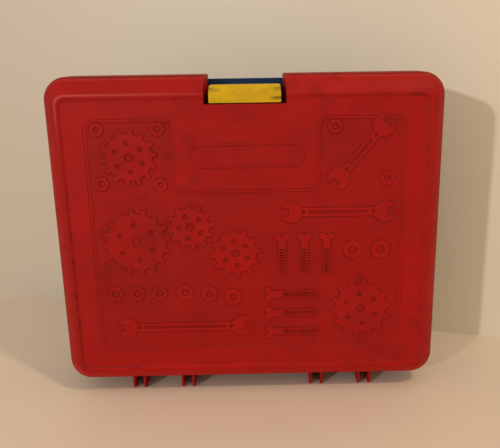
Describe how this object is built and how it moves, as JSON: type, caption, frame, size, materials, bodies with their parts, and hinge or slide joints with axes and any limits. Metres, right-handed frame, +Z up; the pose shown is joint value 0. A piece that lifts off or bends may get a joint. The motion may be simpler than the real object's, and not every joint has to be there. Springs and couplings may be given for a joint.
{
  "type": "construction set carry case",
  "caption": "Upright moulded carry case: red front shell with raised shapes, blue rear shell, yellow grip latch, hinge ribs that serve as feet, and a compartment tray inside.",
  "frame": {"origin": "middle of the footprint, on the surface that the case stands on", "axes": "+Z up, the red front face towards -Y, +X to the right seen from the front"},
  "size_m": [0.4138, 0.084, 0.3544],
  "materials": {
    "red_plastic": "fine-grained moulded polypropylene, scuffed",
    "blue_plastic": "fine-grained moulded polypropylene",
    "yellow_plastic": "smooth moulded polypropylene, slightly soiled",
    "grey_plastic": "thin moulded sheet",
    "clear_plastic": "clear sheet",
    "steel": "plain wire"
  },
  "bodies": {
    "rear": {"rear_shell": "blue_plastic", "latch_pin": "steel", "hinge_pin_1": "steel", "hinge_pin_2": "steel", "hinge_pin_3": "steel", "hinge_pin_4": "steel", "parts_tray": "grey_plastic", "tray_screws": "steel", "tray_cover": "clear_plastic", "tray_divider_1": "grey_plastic", "tray_divider_2": "grey_plastic", "tray_divider_3": "grey_plastic", "small_parts_box": "yellow_plastic", "small_parts_lid": "clear_plastic"},
    "front": {"front_shell": "red_plastic"},
    "latch": {"latch": "yellow_plastic"}
  },
  "joints": [
    {"name": "lid_hinge", "type": "hinge", "parent": "rear", "child": "front", "pos_m": [0, 0, 0.007], "axis": [1, 0, 0], "range_deg": [0, 180]},
    {"name": "latch_hinge", "type": "hinge", "parent": "rear", "child": "latch", "pos_m": [0, -0.0095, 0.3374], "axis": [-1, 0, 0], "range_deg": [0, 95]}
  ]
}
